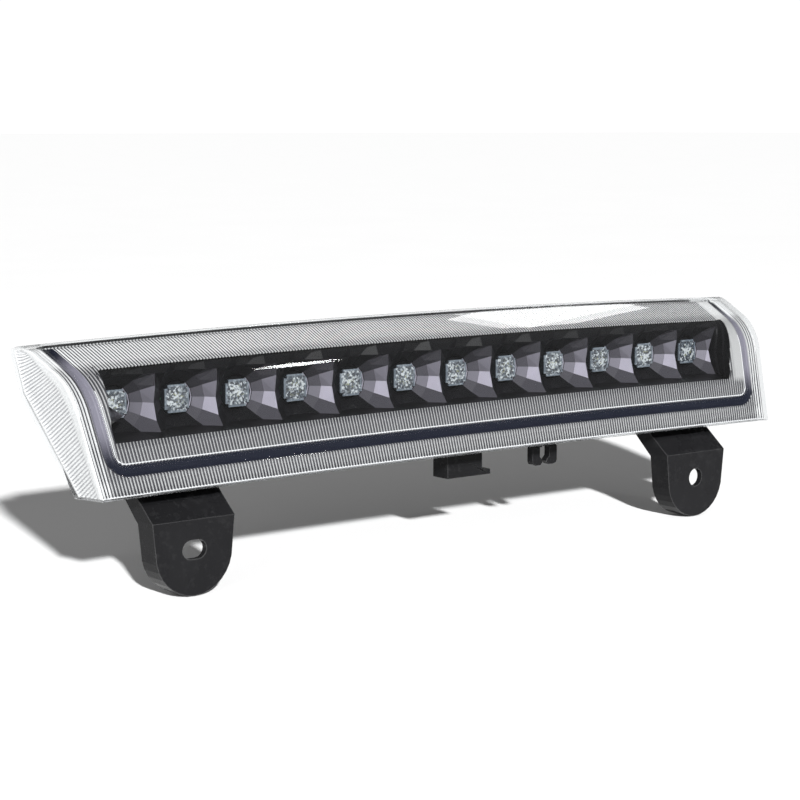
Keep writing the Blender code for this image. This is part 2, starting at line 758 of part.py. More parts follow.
def build_seal():
    """The sealant bead between the lens's back edge and the housing's mouth."""
    rubber = make_material("sealant", (0.05, 0.05, 0.05), 0.7)
    reach = TRAY_HALF_WIDTH - TRAY_WALL / 2
    stations = [reach * (-1 + 2 * i / 14) for i in range(15)]
    low = (-9.3, -24.1)
    high = (13.0, 16.8)
    side = ((-8.9, -22.6), (-5.9, -20.75), (12.7, 3.8), (13.75, 15.2))
    loop = [(x, *low) for x in stations]
    loop += [(reach, *point) for point in side]
    loop += [(x, *high) for x in reversed(stations)]
    loop += [(-reach, *point) for point in reversed(side)]
    curve = bpy.data.curves.new("lens_seal", "CURVE")
    curve.dimensions = "3D"
    curve.bevel_depth = 0.32 * MM
    curve.bevel_resolution = 1
    spline = curve.splines.new("POLY")
    spline.points.add(len(loop) - 1)
    for point, (x, y, z) in zip(spline.points, loop):
        point.co = (x * MM, y * MM, (z + crown_at(x, z)) * MM, 1.0)
    spline.use_cyclic_u = True
    seal = bpy.data.objects.new("lens_seal", curve)
    curve.materials.append(rubber)
    bpy.data.collections[PARTS].objects.link(seal)
    seal.parent = bpy.data.objects["lamp_origin"]


def build_vent():
    """The small breather cap on the back wall."""
    material = make_material("vent_cap", (0.03, 0.03, 0.03), 0.55)
    back = TRAY_LINE[2][0] + GAP
    mesh = cylinder_mesh("breather_vent", (-60.0, 9.0), 4.6, back, back + 1.9, 20, 4.2)
    add_part("breather_vent", mesh, material)
    smooth_shade(mesh)


def centre_lamp():
    """Moves the origin empty so that the bounding box's middle is at the origin."""
    bpy.context.view_layer.update()
    graph = bpy.context.evaluated_depsgraph_get()
    low = Vector((1e9, 1e9, 1e9))
    high = -low
    for part in bpy.data.collections[PARTS].objects:
        evaluated = part.evaluated_get(graph)
        mesh = evaluated.to_mesh()
        for vertex in mesh.vertices:
            place = evaluated.matrix_world @ vertex.co
            low = Vector(map(min, low, place))
            high = Vector(map(max, high, place))
        evaluated.to_mesh_clear()
    middle = (low + high) / 2
    bpy.data.objects["lamp_origin"].location = [-round(value, 5) for value in middle]
    bpy.context.view_layer.update()


def main():
    clear_scene()
    make_collections()
    make_origin()
    build_lens()
    build_housing()
    build_reflector()
    build_leds()
    build_board()
    build_seal()
    build_socket()
    build_leads()
    build_clip()
    build_vent()
    centre_lamp()


main()
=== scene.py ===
"""High-mounted third brake light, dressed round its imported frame.

Lengths in the surface formulas are millimetres in the lamp's own axes: X runs
along the lamp, Y from front to back and Z up, with the LED row at Y = 0, Z = 0.
placed() turns them into metres in the shared frame.
"""

import math

import bpy
import numpy as np
from bpy.props import FloatProperty, FloatVectorProperty, IntProperty, PointerProperty
from mathutils import Euler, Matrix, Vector


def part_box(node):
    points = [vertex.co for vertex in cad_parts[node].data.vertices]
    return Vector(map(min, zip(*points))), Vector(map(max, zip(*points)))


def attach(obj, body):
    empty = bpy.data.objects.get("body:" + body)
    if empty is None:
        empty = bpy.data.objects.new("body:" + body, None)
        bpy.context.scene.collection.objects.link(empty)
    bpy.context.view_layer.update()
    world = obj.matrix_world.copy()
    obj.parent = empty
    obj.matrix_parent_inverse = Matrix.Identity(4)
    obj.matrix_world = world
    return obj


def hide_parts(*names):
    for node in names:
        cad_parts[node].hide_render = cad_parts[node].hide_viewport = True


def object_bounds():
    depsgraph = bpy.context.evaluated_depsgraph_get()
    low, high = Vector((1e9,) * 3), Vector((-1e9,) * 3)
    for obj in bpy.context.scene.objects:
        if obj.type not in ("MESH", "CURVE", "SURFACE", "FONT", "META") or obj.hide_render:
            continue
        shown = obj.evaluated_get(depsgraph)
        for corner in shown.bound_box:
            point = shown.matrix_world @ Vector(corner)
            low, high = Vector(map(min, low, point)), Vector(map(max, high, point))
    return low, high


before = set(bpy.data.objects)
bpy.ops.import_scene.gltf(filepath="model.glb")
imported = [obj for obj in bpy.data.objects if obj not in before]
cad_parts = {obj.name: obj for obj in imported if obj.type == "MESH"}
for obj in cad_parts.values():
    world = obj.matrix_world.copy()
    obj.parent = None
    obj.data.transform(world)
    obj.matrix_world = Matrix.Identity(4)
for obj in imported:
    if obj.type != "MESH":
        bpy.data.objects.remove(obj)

bl_info = {
    "name": "Third Brake Light",
    "version": (1, 0, 0),
    "blender": (4, 5, 0),
    "location": "View3D > Sidebar > Brake Light",
    "description": "Lens, reflector, finishes and studio of a third brake light",
    "category": "Object",
}

CAD_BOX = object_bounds()
OPTIC_LOW, OPTIC_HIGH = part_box("led_optic_06")
ROW_Y = OPTIC_LOW.y
ROW_Z = (OPTIC_LOW.z + OPTIC_HIGH.z) / 2
MM = 0.001

# Points nearer than this, in metres, are one point.
MERGE_DISTANCE = 2e-6

FACE_FOOT = (-24.2, -24.5)
FACE_ANGLE = math.radians(72.5)
FACE_LENGTH = 26.9
FACE_OUTWARD = (0, -1, 0.6)
BROW_LENGTH = 15.835
SPANS = ((FACE_LENGTH, None), (BROW_LENGTH, 19.1), (11.3, None), (7.854, 10.0))
PROFILE = sum(length for length, _ in SPANS)
HALF_WIDTH = 139.2
SPLAY = 0.128
FLARE = 1.2
RETURN_X = 133.0
BACK_LINE = np.array(((-10.0, -25.2), (11.8, 3.9), (13.2, 15.6), (12.4, 17.6)))
BACK_LENGTHS = np.hypot(*np.diff(BACK_LINE, axis=0).T)
CROWN_X = 142.0
CROWN_SPAN = 42.4

GROOVE_BORDER = 4.8
GROOVE_WIDTH = 3.9
GROOVE_SLOPE = 0.8
GROOVE_LOW = 6.3
GROOVE_HIGH = PROFILE - 1.7
GROOVE_MIDDLE = (GROOVE_LOW + GROOVE_HIGH) / 2
GROOVE_HALF = (GROOVE_HIGH - GROOVE_LOW) / 2
GROOVE_LOW_RADIUS = 7.0
GROOVE_HIGH_RADIUS = 4.2

WINDOW_LOW = 16.6
WINDOW_HIGH = 42.3
WINDOW_X = 126.4
WINDOW_LEAN = 0.18
WINDOW_PIVOT = 34.9

LAYER_DEPTH = 1.15
RIB_FOOT = 0.9
RIB_WALL = 0.25
PLAIN_STRIP = (124.5, 126.5)
CAP_RISE = 7.0
MAP_SCALE = 100.0

LED_COUNT = 12
LED_PITCH = 22.0
OPTIC_HALF = 4.3
CUP_SIDES = 14
CELL_LOW = -8.4
CELL_HIGH = 9.0
END_X = 130.2
TROUGH_WALL = 0.7
FLOOR_DEPTH = 0.8

# Radius and depth of each ring of the collar round an LED.
COLLAR = ((4.4, 2.72), (5.55, 2.4), (5.62, 1.3), (5.78, 1.0))

# Sill and header: their level at the cell, front y and z, share of the crown, outward side.
LEDGES = ((CELL_LOW, -17.3, -9.9, 0.6, (0, 0, 1)), (CELL_HIGH, -3.0, 12.0, 1.0, (0, -1, 0)))

# Painted light for each sector of a cup, from the right and anticlockwise as seen from the front: how
# far its facets are painted in the bright plating.
INNER_PAINTED_LIGHT = np.array([0.11, 0.03, 0.0, 0.0, 0.0, 0.0, 0.02, 0.03, 0.0, 0.0, 0.0, 0.0, 0.08, 0.22])
OUTER_PAINTED_LIGHT = np.array([0.34, 0.04, 0.0, 0.0, 0.0, 0.0, 0.03, 0.04, 0.0, 0.0, 0.0, 0.0, 0.08, 0.64])
RIM_PAINTED_HIGHLIGHT = 1.2

ROOT_INSET = 0.25
ROOT_OVERLAP = 0.15
ROOT_RISE = 0.45
SOCKET_SHADE = 0.9

# The floor and the camera's place are in metres.
FLOOR_GAP = 0.0003
FLOOR_REACH = 40.0
CAMERA_PLACE = (-0.43511, -0.54043, 0.10020)
CAMERA_TILT = math.radians(82.587)
CAMERA_TURN = math.radians(-37.908)

SUN_TRAVEL = (0.95, 2.1, -1.0)
SUN_SPREAD = math.radians(2.5)
BACKDROP_STRENGTH = 1.05


def placed(x, y, z):
    """Lamp millimetres made metres in the shared frame, as one array of points."""
    x, y, z = np.broadcast_arrays(x, y, z)
    return np.stack([x * MM, y * MM + ROW_Y, z * MM + ROW_Z], axis=-1)


def ease(low, high, value):
    """0 below low, 1 above high, and a smooth cubic between."""
    t = np.clip((value - low) / (high - low), 0.0, 1.0)
    return t * t * (3 - 2 * t)


def profile_at(s):
    """(y, z, heading) this far up the lens's outline: lines, and arcs turning down.

    An arc's end lies a chord 2 R sin(turn / 2) away, along the mean heading.
    """
    s = np.asarray(s, float)
    y = np.full(s.shape, FACE_FOOT[0])
    z = np.full(s.shape, FACE_FOOT[1])
    heading = np.full(s.shape, FACE_ANGLE)
    start = 0.0
    for length, radius in SPANS:
        step = np.clip(s - start, 0.0, length)
        turn = step / radius if radius else np.zeros(s.shape)
        reach = 2 * radius * np.sin(turn / 2) if radius else step
        y = y + reach * np.cos(heading - turn / 2)
        z = z + reach * np.sin(heading - turn / 2)
        heading = heading - turn
        start += length
    return y, z, heading


def crown(x, z):
    """How far the long edges bow upward: a parabola across, growing with height."""
    return (1 + (z - FACE_FOOT[1]) / CROWN_SPAN) * (1 - (x / CROWN_X) ** 2)


def side_edge(s):
    """Half the lens's width this far up its outline."""
    return HALF_WIDTH + SPLAY * s


def window_edge(side, s):
    """The window's end, in widths at the foot; it leans a little to the right."""
    return side * WINDOW_X + WINDOW_LEAN * (s - WINDOW_PIVOT)


def back_point(share):
    """(y, z) at this share of the lens's back line."""
    marks = np.concatenate([[0.0], np.cumsum(BACK_LENGTHS)]) / BACK_LENGTHS.sum()
    return np.interp(share, marks, BACK_LINE[:, 0]), np.interp(share, marks, BACK_LINE[:, 1])


def groove_inset(x, s):
    """How far in from the groove's outer line: a rounded rectangle's distance."""
    radius = np.where(s < GROOVE_MIDDLE, GROOVE_LOW_RADIUS, GROOVE_HIGH_RADIUS)
    across = np.abs(x) - (side_edge(s) - GROOVE_BORDER) + radius
    up = np.abs(s - GROOVE_MIDDLE) - GROOVE_HALF + radius
    outside = np.hypot(np.maximum(across, 0), np.maximum(up, 0))
    return radius - outside - np.minimum(np.maximum(across, up), 0)


def groove_share(x, s):
    """1 on the groove's floor, 0 outside it, and sloping walls between."""
    inset = groove_inset(x, s)
    far_side = ease(GROOVE_WIDTH - GROOVE_SLOPE, GROOVE_WIDTH, inset)
    return ease(0.0, GROOVE_SLOPE, inset) * (1 - far_side)


def face_point(x, s, depth):
    """The lens's face at width x and outline distance s, moved inward by depth."""
    y, z, heading = profile_at(s)
    y = y + depth * np.sin(heading)
    z = z - depth * np.cos(heading)
    return x, y, z + crown(x, z)


def ruled(front, back, steps):
    """Points at these shares of the way along straight lines from front to back."""
    return [a[:, None] + (b - a)[:, None] * steps for a, b in zip(front, back)]


def turned_out(points, faces, outward):
    """The faces, turned so that their summed normal looks along outward."""
    corners = points[faces]
    normals = np.cross(corners[:, 2] - corners[:, 0], corners[:, 3] - corners[:, 1])
    return faces if (normals @ np.array(outward, float)).sum() >= 0 else faces[:, ::-1]


def patch(points, outward, keep=None, wrap=False):
    """(points, faces) of a grid of points; keep leaves cells out, wrap closes columns."""
    rows, columns = points.shape[:2]
    index = np.arange(rows * columns).reshape(rows, columns)
    if wrap:
        index = np.concatenate([index, index[:, :1]], axis=1)
    faces = np.stack([index[:-1, :-1], index[:-1, 1:], index[1:, 1:], index[1:, :-1]], -1)
    faces = faces.reshape(-1, 4) if keep is None else faces[keep]
    flat = points.reshape(-1, 3)
    return flat, turned_out(flat, faces, outward)


def make_piece(name, patches, material, smooth=True, maps=None, tones=None):
    """An object of joined patches, their meeting points merged and flat faces dropped.

    maps holds each patch's (u, v) grid, and tones one number for each face.
    """
    starts = np.cumsum([0] + [len(points) for points, _ in patches[:-1]])
    points = np.concatenate([points for points, _ in patches])
    faces = np.concatenate([faces + start for (_, faces), start in zip(patches, starts)])
    _, first, index = np.unique(
        np.round(points / MERGE_DISTANCE).astype(np.int64),
        axis=0,
        return_index=True,
        return_inverse=True,
    )
    faces = index.reshape(-1)[faces]
    distinct = np.array([len(set(face)) for face in faces.tolist()])
    polygons = [list(dict.fromkeys(face)) for face in faces[distinct > 2].tolist()]
    mesh = bpy.data.meshes.new(name)
    mesh.from_pydata(points[first].tolist(), [], polygons)
    mesh.polygons.foreach_set("use_smooth", np.full(len(polygons), smooth))
    if maps is not None:
        places = np.concatenate([np.stack(pair, -1).reshape(-1, 2) for pair in maps])[first]
        corners = np.empty(len(mesh.loops), np.int32)
        mesh.loops.foreach_get("vertex_index", corners)
        layer = mesh.uv_layers.new(name="lens_map")
        layer.data.foreach_set("uv", places[corners].astype(np.float32).reshape(-1))
    if tones is not None:
        layer = mesh.attributes.new("tone", "FLOAT", "FACE")
        layer.data.foreach_set("value", tones[distinct > 2].astype(np.float32))
    mesh.materials.append(material)
    mesh.update()
    piece = bpy.data.objects.new(name, mesh)
    bpy.context.scene.collection.objects.link(piece)
    return piece


def add_wall(piece, thickness):
    """Gives a sheet its wall, inward from its surface."""
    wall = piece.modifiers.new("wall", "SOLIDIFY")
    wall.thickness = thickness * MM
    wall.offset = -1.0
    wall.use_even_offset = True
    wall.thickness_clamp = 1.0


def add_rounding(piece, width, segments=2, angle=35.0, weld=False):
    """Rounds the edges that are sharper than the angle; weld first joins split corners."""
    if weld:
        merge = piece.modifiers.new("weld", "WELD")
        merge.merge_threshold = 0.01 * MM
    bevel = piece.modifiers.new("rounding", "BEVEL")
    bevel.width = width * MM
    bevel.segments = segments
    bevel.limit_method = "ANGLE"
    bevel.angle_limit = math.radians(angle)
    bevel.harden_normals = True


class Value:
    """A shader socket that takes part in sums; each operator adds a Math node."""

    def __init__(self, sheet, socket):
        self.sheet = sheet
        self.socket = socket

    def math(self, operation, *others):
        settings = {"operation": operation}
        return self.sheet.value("ShaderNodeMath", settings, dict(enumerate((self, *others))))

    def __add__(self, other):
        return self.math("ADD", other)

    __radd__ = __add__

    def __mul__(self, other):
        return self.math("MULTIPLY", other)

    __rmul__ = __mul__

    def __sub__(self, other):
        return self.math("SUBTRACT", other)

    def __rsub__(self, other):
        return self.math("MULTIPLY_ADD", -1.0, other)

    def __truediv__(self, other):
        return self.math("DIVIDE", other)

    def __pow__(self, other):
        return self.math("POWER", other)

    def __abs__(self):
        return self.math("ABSOLUTE")

    def __mod__(self, other):
        return self.math("FLOORED_MODULO", other)

    def most(self, other):
        return self.math("MAXIMUM", other)

    def least(self, other):
        return self.math("MINIMUM", other)

    def eased(self, low, high):
        """0 at low, 1 at high, smooth between."""
        settings = {"interpolation_type": "SMOOTHSTEP"}
        sockets = {"Value": self, "From Min": low, "From Max": high}
        return self.sheet.value("ShaderNodeMapRange", settings, sockets)


class Sheet:
    """One material's nodes."""

    def __init__(self, name):
        self.material = bpy.data.materials.new(name)
        self.material.use_nodes = True
        self.nodes = self.material.node_tree.nodes
        self.nodes.clear()

    def add(self, kind, settings=None, sockets=None):
        """A node of this type: its settings first, then its sockets' values or links."""
        node = self.nodes.new(kind)
        for key, value in (settings or {}).items():
            if key == "stops":
                ramp = node.color_ramp
                while len(ramp.elements) < len(value):
                    ramp.elements.new(0.5)
                for element, (place, colour) in zip(ramp.elements, value):
                    element.position = place
                    element.color = (*colour, 1.0)
            else:
                setattr(node, key, value)
        for key, value in (sockets or {}).items():
            socket = node.inputs[key]
            if isinstance(value, Value):
                value = value.socket
            if isinstance(value, bpy.types.NodeSocket):
                self.material.node_tree.links.new(value, socket)
            elif hasattr(value, "__len__") and len(value) == 3 and socket.type == "RGBA":
                socket.default_value = (*value, 1.0)
            else:
                socket.default_value = value
        return node

    def value(self, kind, settings=None, sockets=None, output=0):
        return Value(self, self.add(kind, settings, sockets).outputs[output])

    def coordinates(self):
        return self.add("ShaderNodeTexCoord").outputs["Object"]

    def axes(self, vector):
        parts = self.add("ShaderNodeSeparateXYZ", None, {"Vector": vector})
        return [Value(self, output) for output in parts.outputs]

    def noise(self, scale, detail=2.0, vector=None, roughness=0.5):
        sockets = {"Scale": scale, "Detail": detail, "Roughness": roughness}
        sockets["Vector"] = self.coordinates() if vector is None else vector
        return self.value("ShaderNodeTexNoise", None, sockets)

    def blend(self, factor, first, second):
        """A colour that goes from first to second as factor goes from 0 to 1."""
        settings = {"data_type": "RGBA"}
        node = self.add("ShaderNodeMix", settings, {0: factor, 6: first, 7: second})
        return node.outputs[2]

    def edges(self, radius):
        """1 on convex and concave edges, 0 on flats."""
        rounded = self.add("ShaderNodeBevel", {"samples": 4}, {"Radius": radius * MM})
        plain = self.add("ShaderNodeNewGeometry")
        settings = {"operation": "DOT_PRODUCT"}
        sockets = {0: rounded.outputs["Normal"], 1: plain.outputs["Normal"]}
        node = self.add("ShaderNodeVectorMath", settings, sockets)
        return (1 - Value(self, node.outputs["Value"])).eased(0.01, 0.22)

    def bump(self, height, distance, strength=1.0):
        sockets = {"Height": height, "Distance": distance * MM, "Strength": strength}
        return self.add("ShaderNodeBump", None, sockets).outputs["Normal"]

    def principled(self, **sockets):
        named = {key.replace("_", " "): value for key, value in sockets.items()}
        return self.add("ShaderNodeBsdfPrincipled", None, named)

    def finish(self, shader):
        self.add("ShaderNodeOutputMaterial", None, {"Surface": shader.outputs[0]})
        return self.material


def moulded_plastic(name, colour, roughness, grain=0.35, wear_and_edge_highlight=0.5):
    """Satin moulded plastic: fine grain, cloudy gloss, and paler edges that are partly rubbed wear and
    partly a painted edge highlight.
    """
    sheet = Sheet(name)
    cloud = sheet.noise(70.0, 4.0)
    fine = sheet.noise(2600.0, 2.0)
    scuff = sheet.noise(420.0, 5.0, roughness=0.7).eased(0.52, 0.72)
    # The edges are painted paler, partly as rubbed wear and partly as a painted highlight along them.
    edge = sheet.edges(0.45) * (0.35 + 0.65 * sheet.noise(300.0, 3.0))
    pale = [min(1.0, part * 2.1 + 0.085) for part in colour]
    base = sheet.blend(cloud, colour, [part * 1.5 + 0.001 for part in colour])
    base = sheet.blend(edge * wear_and_edge_highlight + scuff * 0.05, base, pale)
    rough = roughness + 0.16 * (cloud - 0.5) + 0.10 * scuff - 0.08 * edge
    normal = sheet.bump(fine + 0.4 * cloud, 0.04, grain)
    shader = sheet.principled(
        Base_Color=base, Roughness=rough, Normal=normal, IOR=1.5, Specular_IOR_Level=0.06
    )
    return sheet.finish(shader)


def black_plastic(name, colour):
    """The black plastic of the housing, its clip and its socket, with strongly paler edges: partly
    rubbed wear, partly a painted highlight.
    """
    return moulded_plastic(name, colour, 0.27, wear_and_edge_highlight=0.85)


def metal_finish(name, colour, roughness):
    """Plated metal: fine uneven plating and duller patches."""
    sheet = Sheet(name)
    cloud = sheet.noise(220.0, 4.0)
    fine = sheet.noise(900.0, 3.0)
    base = sheet.blend(cloud, [part * 0.7 for part in colour], colour)
    shader = sheet.principled(
        Base_Color=base,
        Metallic=1.0,
        Roughness=roughness + 0.25 * (fine - 0.5),
        Normal=sheet.bump(fine, 0.02, 0.5),
    )
    return sheet.finish(shader)


def board_resin(colour):
    """Solder-masked board: darker resin with paler copper tracks showing through."""
    sheet = Sheet("board_resin")
    x, _, z = sheet.axes(sheet.coordinates())
    wander = sheet.noise(60.0, 1.0)
    track = abs((z * 420.0 + wander * 1.5) % 1.0 - 0.5).eased(0.30, 0.38)
    gap = abs((x * 45.0) % 1.0 - 0.5).eased(0.05, 0.08)
    pale = [part * 1.8 + 0.01 for part in colour]
    base = sheet.blend(track * gap, colour, pale)
    shader = sheet.principled(
        Base_Color=base,
        Roughness=0.35 + 0.2 * sheet.noise(900.0),
        Normal=sheet.bump(track * gap, 0.05, 0.6),
    )
    return sheet.finish(shader)


def led_phosphor(colour):
    """The LED's phosphor patch in its pale package."""
    sheet = Sheet("led_phosphor")
    grain = sheet.noise(3000.0, 3.0)
    base = sheet.blend(grain, [part * 0.8 for part in colour], colour)
    normal = sheet.bump(grain, 0.02, 0.4)
    return sheet.finish(sheet.principled(Base_Color=base, Roughness=0.35 + 0.2 * grain, Normal=normal))


def sparkling_optic(tint):
    """A cut clear block with painted light: bright and dark facet glints painted as highlight and
    reflection, a painted glow toward the middle, a bluish edge, warm specks, and painted shade on its
    sides and back.
    """
    sheet = Sheet("sparkling_optic")
    x, y, z = sheet.axes(sheet.coordinates())
    across = ((x / MM + LED_PITCH * LED_COUNT / 2) % LED_PITCH - LED_PITCH / 2) / OPTIC_HALF
    up = (z - ROW_Z) / (OPTIC_HALF * MM)
    far = (across * across + up * up) ** 0.5
    # The Voronoi cells give painted glints: bright and dark specks of painted highlight and reflection
    # in the colour.
    sockets = {"Scale": 1500.0, "Vector": sheet.coordinates()}
    cells = sheet.add("ShaderNodeTexVoronoi", None, sockets)
    glint = sheet.value("ShaderNodeSeparateColor", None, {0: cells.outputs["Color"]})
    small = sheet.noise(1900.0, 3.0, roughness=0.7)
    centre_glow_mask = 1 - far.eased(0.15, 0.95)
    rim = (abs(across).most(abs(up))).eased(0.78, 0.95)
    level = glint * 0.55 + small * 0.75 - 0.12
    stops = (
        (0.18, (0.015, 0.02, 0.03)),
        (0.42, [part * 0.35 for part in tint]),
        (0.62, tint),
        (0.8, (0.29, 0.31, 0.32)),
    )
    # The ramp turns the glints into dark and pale colour; the middle is raised a little, a painted
    # glow.
    ramp = sheet.add("ShaderNodeValToRGB", {"stops": stops}, {0: level + 0.12 * centre_glow_mask})
    shades = ramp.outputs[0]
    warm = (sheet.noise(1100.0, 1.0).eased(0.56, 0.66)) * centre_glow_mask
    base = sheet.blend(warm * 0.5, shades, (0.17, 0.17, 0.07))
    base = sheet.blend(rim * 0.8, base, [min(1.0, part * 1.35) for part in tint])
    # The sides and back, set in the cup's hole, are painted darker: painted shade.
    behind = ((y - ROW_Y) / MM).eased(0.2, 0.6)
    base = sheet.blend(behind, base, [part * 0.12 for part in tint])
    shader = sheet.principled(
        Base_Color=base,
        Roughness=0.12 + 0.2 * small,
        Coat_Weight=0.6 + 0.4 * centre_glow_mask,
        Coat_Roughness=0.04,
        Normal=sheet.bump(glint + small, 0.16, 0.5),
    )
    return sheet.finish(shader)


def clear_skin():
    """Polished clear plastic: a see-through sheet that mirrors more at low angles.

    The mirrored share is 0.04 + 0.96 f^5, where f is 1 - the cosine of the angle,
    and a tenth of it in the frosted groove.
    """
    sheet = Sheet("clear_skin")
    facing = sheet.value("ShaderNodeLayerWeight", None, {"Blend": 0.5}, output=1)
    wave = sheet.noise(45.0, 2.0)
    dust = sheet.noise(1400.0, 3.0).eased(0.60, 0.74)
    gloss = sheet.principled(
        Base_Color=(0.98, 0.985, 0.99),
        Metallic=1.0,
        Roughness=0.025 + 0.05 * dust,
        Normal=sheet.bump(wave, 0.25, 0.03),
    )
    clear = sheet.add("ShaderNodeBsdfTransparent", None, {"Color": (0.985, 0.99, 0.992)})
    groove = sheet.value("ShaderNodeAttribute", {"attribute_name": "tone"}, output=2)
    share = (0.04 + 0.96 * facing**5 + 0.012 * dust) * (1 - 0.9 * groove)
    sockets = {0: share, 1: clear.outputs[0], 2: gloss.outputs[0]}
    return sheet.finish(sheet.add("ShaderNodeMixShader", None, sockets))


def lens_axes(sheet):
    """(u, s) of the ribbed layers in millimetres, from their own map."""
    layer = sheet.add("ShaderNodeUVMap", {"uv_map": "lens_map"}).outputs[0]
    u, s, _ = sheet.axes(layer)
    return u * MAP_SCALE, s * MAP_SCALE


def groove_sockets(u, s):
    """groove_inset() in shader sums, with 1 above the groove's middle and 0 below."""
    high = s.eased(GROOVE_MIDDLE - 0.1, GROOVE_MIDDLE + 0.1)
    radius = GROOVE_LOW_RADIUS + (GROOVE_HIGH_RADIUS - GROOVE_LOW_RADIUS) * high
    across = abs(u) - (HALF_WIDTH - GROOVE_BORDER) + radius
    up = abs(s - GROOVE_MIDDLE) - GROOVE_HALF + radius
    outside = (across.most(0.0) ** 2.0 + up.most(0.0) ** 2.0) ** 0.5
    return radius - outside - across.most(up).least(0.0), high


def ribbed_face(pitch, light, dark, channel):
    """Clear fluted plastic with painted light and shade: pale ridges as painted highlight and dark
    valleys as painted shade, their share set by the region.
    """
    sheet = Sheet("ribbed_face")
    u, s = lens_axes(sheet)
    # phase runs across the ribs; their ridges and valleys are painted as highlight and shade.
    phase = (u * (2 * math.pi / pitch)).math("COSINE") * 0.5 + 0.5
    # Towards the top the plastic is painted paler: a painted reflection of the bright surroundings.
    painted_top_reflection = s.eased(40.0, 47.0)
    foot = 1 - s.eased(4.5, 6.5)
    low = 1 - s.eased(15.0, 17.5)
    # A plain strip right of the window is painted pale, standing in for the bright backdrop seen
    # through the clear plastic.
    right = u.eased(*PLAIN_STRIP) * (1 - u.eased(130.0, 131.5)) * s.eased(14.5, 17.5)
    rim = abs(u).eased(134.0, 135.0)
    cross = ((u * 0.7 + s * 2.2) * (2 * math.pi / pitch)).math("COSINE") * 0.5 + 0.5
    wander = sheet.noise(90.0, 2.0)
    # The ridge share is bigger, so the plastic paler, at the top, near the foot and at the ends, and
    # smaller below the window.
    bare = 0.60 - 0.32 * painted_top_reflection + 0.12 * low - 0.10 * foot - 0.28 * rim + 0.10 * (wander - 0.5)
    line = phase.eased(bare - 0.12, bare + 0.12)
    line = line * (1 - 0.25 * cross * (1 - foot))
    line = line.most(right)
    # Ridges are painted brighter at the top and at the ends: painted reflection.
    ridge = sheet.blend(painted_top_reflection.most(rim * 0.5), light, [part * 2.2 for part in light])
    base = sheet.blend(line, dark, ridge)
    # The groove is painted dark, standing in for the dark inside seen through it, with a painted light
    # band on its legs near the ends.
    ends = abs(u).eased(120.0, 128.0) * s.eased(10.0, 22.0) * (1 - s.eased(44.0, 54.0))
    inset, high = groove_sockets(u, s)
    far_side = inset.eased(GROOVE_WIDTH - 0.45, GROOVE_WIDTH - 0.1)
    inside = inset.eased(0.1, 0.45) * (1 - far_side)
    groove_colour = sheet.blend(ends * 0.9, channel, (0.115, 0.11, 0.133))
    base = sheet.blend(inside, base, groove_colour)
    # A painted highlight line runs along the groove's lower inner edge, and another along the foot's
    # hem.
    ledge = inset.eased(GROOVE_WIDTH - 0.1, GROOVE_WIDTH + 0.05)
    ledge = ledge * (1 - inset.eased(GROOVE_WIDTH + 0.15, GROOVE_WIDTH + 0.35)) * (1 - high)
    painted_hem_highlight = s.eased(-0.3, 0.2) * (1 - s.eased(1.0, 1.4))
    base = sheet.blend(ledge.most(painted_hem_highlight) * 0.8, base, (0.50, 0.50, 0.51))
    shader = sheet.principled(
        Base_Color=base,
        Roughness=0.42 + 0.12 * wander,
        Normal=sheet.bump(sheet.noise(700.0, 2.0), 0.05, 0.3),
        Specular_IOR_Level=0.12,
    )
    return sheet.finish(shader)


def ribbed_cap(pitch, light, dark):
    """Clear fluted plastic of the end caps, painted white as painted light for the bright backdrop
    seen through it, with faint grey lines painted as shade along the flutes.
    """
    sheet = Sheet("ribbed_cap")
    u, s = lens_axes(sheet)
    phase = (s * (2 * math.pi / pitch)).math("COSINE") * 0.5 + 0.5
    body = u.eased(0.16, 0.26) * (1 - u.eased(0.90, 0.97))
    cloud = sheet.noise(160.0, 2.0)
    line = (1 - phase.eased(0.12, 0.6)) * body * (0.6 + 0.4 * cloud)
    base = sheet.blend(line, light, dark)
    shader = sheet.principled(
        Base_Color=base,
        Roughness=0.42 + 0.1 * cloud,
        Normal=sheet.bump(sheet.noise(700.0, 2.0), 0.05, 0.3),
        Specular_IOR_Level=0.12,
    )
    return sheet.finish(shader)


def chrome_with_painted_facet_light(colour):
    """Gloss black moulding; the cup facets that face the light, and a rim at the right of each hole,
    are painted in a dark lavender metal by their tone: painted highlight and reflection.
    """
    sheet = Sheet("chrome_with_painted_facet_light")
    tone = sheet.value("ShaderNodeAttribute", {"attribute_name": "tone"}, output=2)
    haze = sheet.noise(260.0, 3.0)
    fine = sheet.noise(2200.0, 2.0)
    # tone is each facet's painted light: 0 stays black, more blends to the plating colour and partly
    # to metal, a painted reflection.
    base = sheet.blend(tone, (0.0035, 0.0035, 0.004), colour)
    base = sheet.blend(haze * 0.2, base, (0.008, 0.008, 0.009))
    shader = sheet.principled(
        Base_Color=base,
        Metallic=tone.eased(0.05, 0.3) * 0.45,
        Roughness=0.24 + 0.08 * haze + 0.05 * fine,
        Normal=sheet.bump(fine, 0.01, 0.35),
        Specular_IOR_Level=0.06,
    )
    return sheet.finish(shader)


def studio_floor(colour):
    """Matt floor with a faint cloud in its paleness."""
    sheet = Sheet("studio_floor")
    cloud = sheet.noise(9.0, 3.0)
    base = sheet.blend(cloud, [part * 0.985 for part in colour], colour)
    return sheet.finish(sheet.principled(Base_Color=base, Roughness=0.7 + 0.1 * cloud))


def number_setting(name, description, default):
    return FloatProperty(name=name, description=description, default=default)


def colour_setting(name, description, default):
    return FloatVectorProperty(
        name=name, description=description, subtype="COLOR", default=default
    )


